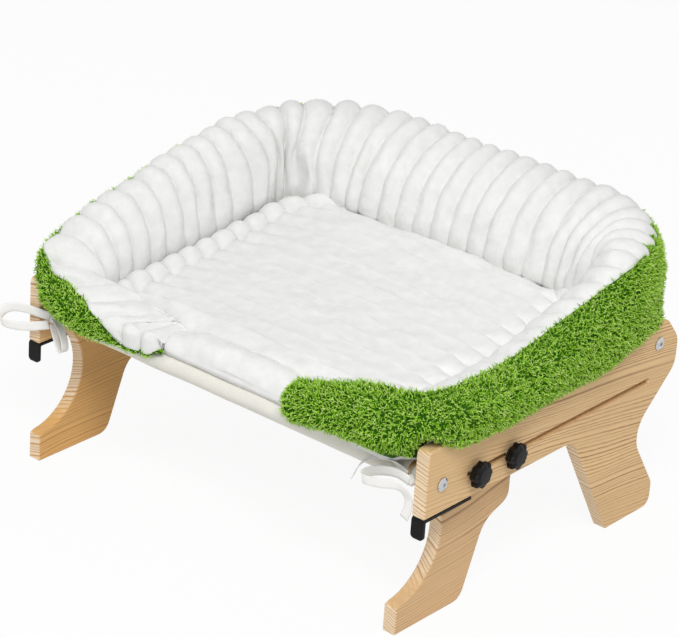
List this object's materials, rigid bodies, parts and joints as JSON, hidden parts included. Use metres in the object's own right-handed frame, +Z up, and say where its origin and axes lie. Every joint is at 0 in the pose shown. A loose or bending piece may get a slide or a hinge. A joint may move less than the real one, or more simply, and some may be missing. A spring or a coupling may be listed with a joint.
{
  "type": "cat window perch",
  "caption": "Wooden window perch with sill hooks, clamped sliding front legs, cloth hammock seat and a ribbed plush bolster cushion tied to its crossbar.",
  "frame": {"origin": "on the floor under the middle of the perch without its tape ties", "axes": "+X is the perch's right side, +Y runs from the sill hooks to the back of the bed, +Z is up"},
  "size_m": [0.5727, 0.4804, 0.303],
  "materials": {
    "ash_boards": "clear matt lacquer over visible grain",
    "beech_dowels": "smooth, plain",
    "zinc_fasteners": "bright zinc plating",
    "brass_inserts": "plain",
    "black_steel": "black powder coat",
    "black_plastic": "matt",
    "hammock_cloth": "off-white woven cloth",
    "white_plush": "short ribbed plush",
    "green_plush": "curly pile, about 9 mm",
    "white_tape": "thin woven tape"
  },
  "bodies": {
    "root": {"right_side_panel": "ash_boards", "left_side_panel": "ash_boards", "right_sill_hook": "black_steel", "left_sill_hook": "black_steel", "right_hook_front_screw": "zinc_fasteners", "right_hook_rear_screw": "zinc_fasteners", "left_hook_front_screw": "zinc_fasteners", "left_hook_rear_screw": "zinc_fasteners", "front_crossbar": "beech_dowels", "rear_crossbar": "beech_dowels", "front_crossbar_right_insert": "brass_inserts", "front_crossbar_left_insert": "brass_inserts", "rear_crossbar_right_insert": "brass_inserts", "rear_crossbar_left_insert": "brass_inserts", "front_crossbar_right_bolt": "zinc_fasteners", "front_crossbar_left_bolt": "zinc_fasteners", "rear_crossbar_right_bolt": "zinc_fasteners", "rear_crossbar_left_bolt": "zinc_fasteners", "hammock_cloth": "hammock_cloth", "seat_pad": "white_plush", "bolster_white_plush": "white_plush", "bolster_green_plush": "green_plush", "right_tie_knot": "white_tape", "left_tie_knot": "white_tape", "right_tie_loop": "white_tape", "right_tie_tail": "white_tape", "left_tie_loop": "white_tape", "left_tie_tail": "white_tape"},
    "right_leg": {"right_front_leg": "ash_boards", "right_front_knob_insert": "brass_inserts", "right_rear_knob_insert": "brass_inserts", "right_front_knob_washer": "zinc_fasteners", "right_rear_knob_washer": "zinc_fasteners"},
    "left_leg": {"left_front_leg": "ash_boards", "left_front_knob_insert": "brass_inserts", "left_rear_knob_insert": "brass_inserts", "left_front_knob_washer": "zinc_fasteners", "left_rear_knob_washer": "zinc_fasteners"},
    "right_front_clamp": {"right_front_knob": "black_plastic", "right_front_knob_stud": "zinc_fasteners"},
    "right_rear_clamp": {"right_rear_knob": "black_plastic", "right_rear_knob_stud": "zinc_fasteners"},
    "left_front_clamp": {"left_front_knob": "black_plastic", "left_front_knob_stud": "zinc_fasteners"},
    "left_rear_clamp": {"left_rear_knob": "black_plastic", "left_rear_knob_stud": "zinc_fasteners"}
  },
  "joints": [
    {"name": "right_leg_slide", "type": "slide", "parent": "root", "child": "right_leg", "axis": [0, 1, 0], "range_m": [-0.008, 0.228]},
    {"name": "left_leg_slide", "type": "slide", "parent": "root", "child": "left_leg", "axis": [0, 1, 0], "range_m": [-0.008, 0.228]},
    {"name": "right_front_knob_turn", "type": "hinge", "parent": "right_leg", "child": "right_front_clamp", "pos_m": [0.27, -0.14129, 0.152], "axis": [1, 0, 0], "range_deg": [0, 720]},
    {"name": "right_rear_knob_turn", "type": "hinge", "parent": "right_leg", "child": "right_rear_clamp", "pos_m": [0.27, -0.08629, 0.152], "axis": [1, 0, 0], "range_deg": [0, 720]},
    {"name": "left_front_knob_turn", "type": "hinge", "parent": "left_leg", "child": "left_front_clamp", "pos_m": [-0.27, -0.14129, 0.152], "axis": [-1, 0, 0], "range_deg": [0, 720]},
    {"name": "left_rear_knob_turn", "type": "hinge", "parent": "left_leg", "child": "left_rear_clamp", "pos_m": [-0.27, -0.08629, 0.152], "axis": [-1, 0, 0], "range_deg": [0, 720]}
  ]
}
